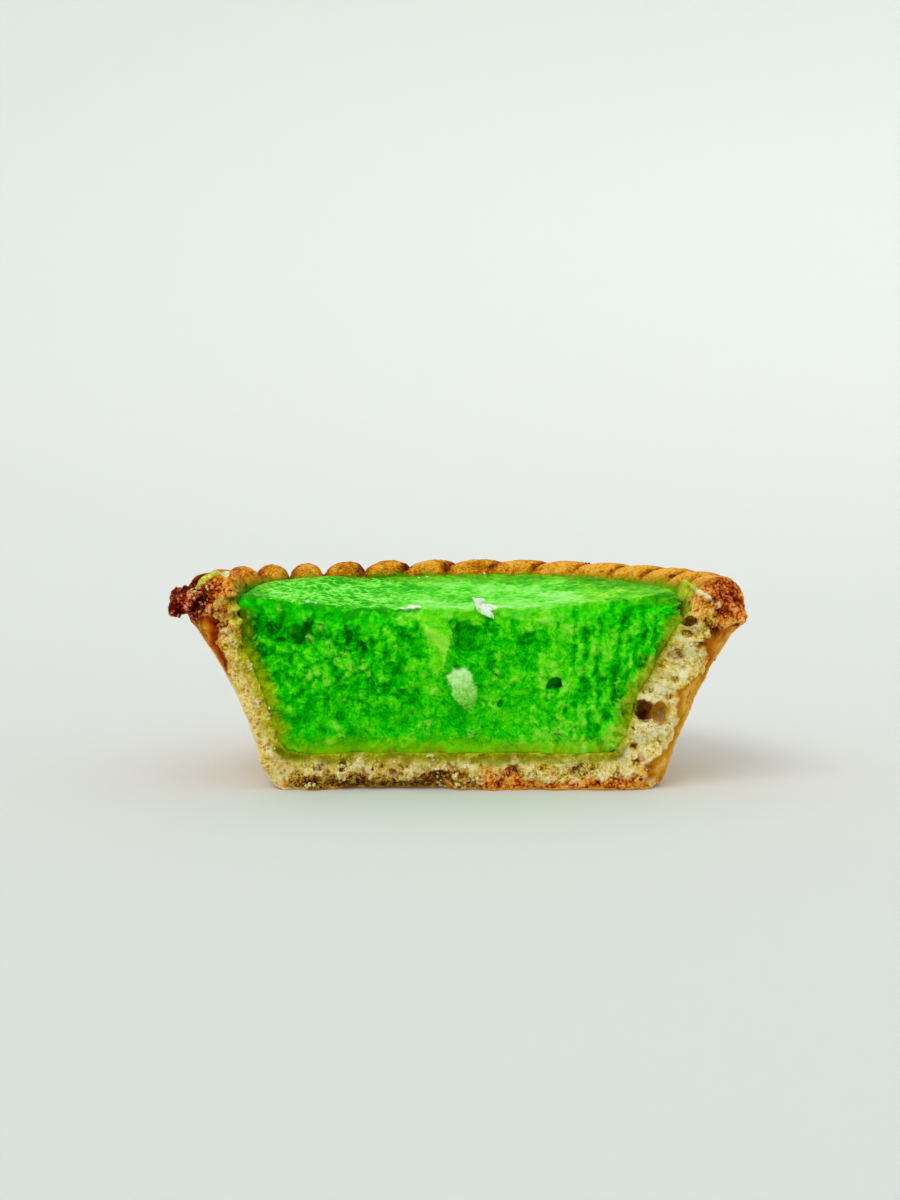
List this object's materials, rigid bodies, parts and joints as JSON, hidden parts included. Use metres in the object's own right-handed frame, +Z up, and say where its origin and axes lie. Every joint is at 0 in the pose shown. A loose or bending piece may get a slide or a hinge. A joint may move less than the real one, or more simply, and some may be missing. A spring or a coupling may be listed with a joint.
{
  "type": "matcha cheese tart half",
  "caption": "Half of a round matcha cheese tart: crimped shortcrust shell holding a sunken green cheese filling, broken open to a crumbly flat face.",
  "frame": {"origin": "centre of the bounding box, on the flat base the tart stands on", "axes": "+X along the broken face to the viewer's right, -Y out of the broken face towards the viewer, +Z up"},
  "size_m": [0.0778, 0.0434, 0.0291],
  "materials": {
    "pastry_shell": "dry browned shortcrust with a sandy crumb",
    "matcha_filling": "moist pale green curd"
  },
  "bodies": {
    "root": {"pastry_shell": "pastry_shell", "matcha_filling": "matcha_filling"}
  },
  "joints": []
}
